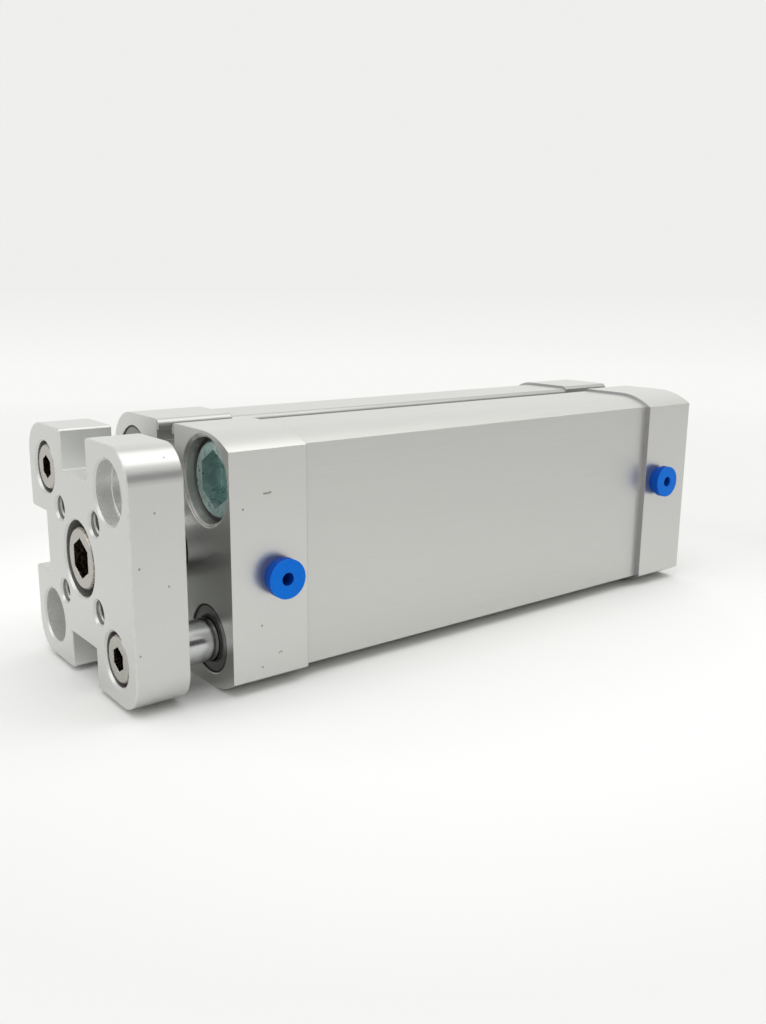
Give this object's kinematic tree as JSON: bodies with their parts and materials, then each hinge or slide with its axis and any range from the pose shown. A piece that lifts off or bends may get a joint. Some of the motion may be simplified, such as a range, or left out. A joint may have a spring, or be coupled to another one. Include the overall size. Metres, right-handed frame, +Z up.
{
  "type": "guided pneumatic cylinder",
  "caption": "Compact square-bodied pneumatic cylinder with diagonal guide rods, a slotted yoke plate, sensor T-slots and plugged side air ports.",
  "frame": {"origin": "centre of the end cap's rear face, on the piston axis", "axes": "+X along the piston rod, out of the bearing cap towards the yoke plate; +Y out of the flat side with the air ports; +Z up as it lies in the picture"},
  "size_m": [0.1104, 0.0377, 0.0356],
  "materials": {
    "barrel_aluminium": "satin clear anodised",
    "cap_aluminium": "satin clear anodised",
    "yoke_aluminium": "bead-blasted clear anodised",
    "piston_aluminium": "turned",
    "zinc_steel": "blue-green zinc plated",
    "screw_steel": "nickel plated",
    "rod_steel": "ground and polished",
    "bronze": "sintered bronze",
    "seal_rubber": "matt",
    "magnet_compound": "matt",
    "wear_plastic": "matt",
    "plug_plastic": "semi-gloss moulded"
  },
  "bodies": {
    "cylinder_body": {"barrel": "barrel_aluminium", "bearing_cap": "cap_aluminium", "end_cap": "cap_aluminium", "front_collar_screws": "zinc_steel", "rear_collar_screws": "zinc_steel", "front_cap_seal": "seal_rubber", "rear_cap_seal": "seal_rubber", "front_bumper": "seal_rubber", "rear_bumper": "seal_rubber", "rod_bush": "bronze", "rod_wiper": "seal_rubber", "guide_bush_upper": "bronze", "guide_bush_lower": "bronze", "guide_wiper_upper": "seal_rubber", "guide_wiper_lower": "seal_rubber"},
    "yoke_slide": {"piston": "piston_aluminium", "piston_seal_front": "seal_rubber", "piston_seal_rear": "seal_rubber", "wear_ring": "wear_plastic", "magnet_ring": "magnet_compound", "piston_rod": "rod_steel", "guide_rod_upper": "rod_steel", "guide_rod_lower": "rod_steel", "yoke_plate": "yoke_aluminium", "rod_screw": "screw_steel", "guide_rod_screws": "screw_steel"},
    "front_plug": {"front_port_plug": "plug_plastic"},
    "rear_plug": {"rear_port_plug": "plug_plastic"}
  },
  "joints": [
    {"name": "rod_slide", "type": "slide", "parent": "cylinder_body", "child": "yoke_slide", "axis": [1, 0, 0], "range_m": [0, 0.06]},
    {"name": "front_plug_pull", "type": "slide", "parent": "cylinder_body", "child": "front_plug", "axis": [0, 1, 0], "range_m": [0, 0.012]},
    {"name": "rear_plug_pull", "type": "slide", "parent": "cylinder_body", "child": "rear_plug", "axis": [0, 1, 0], "range_m": [0, 0.012]}
  ]
}
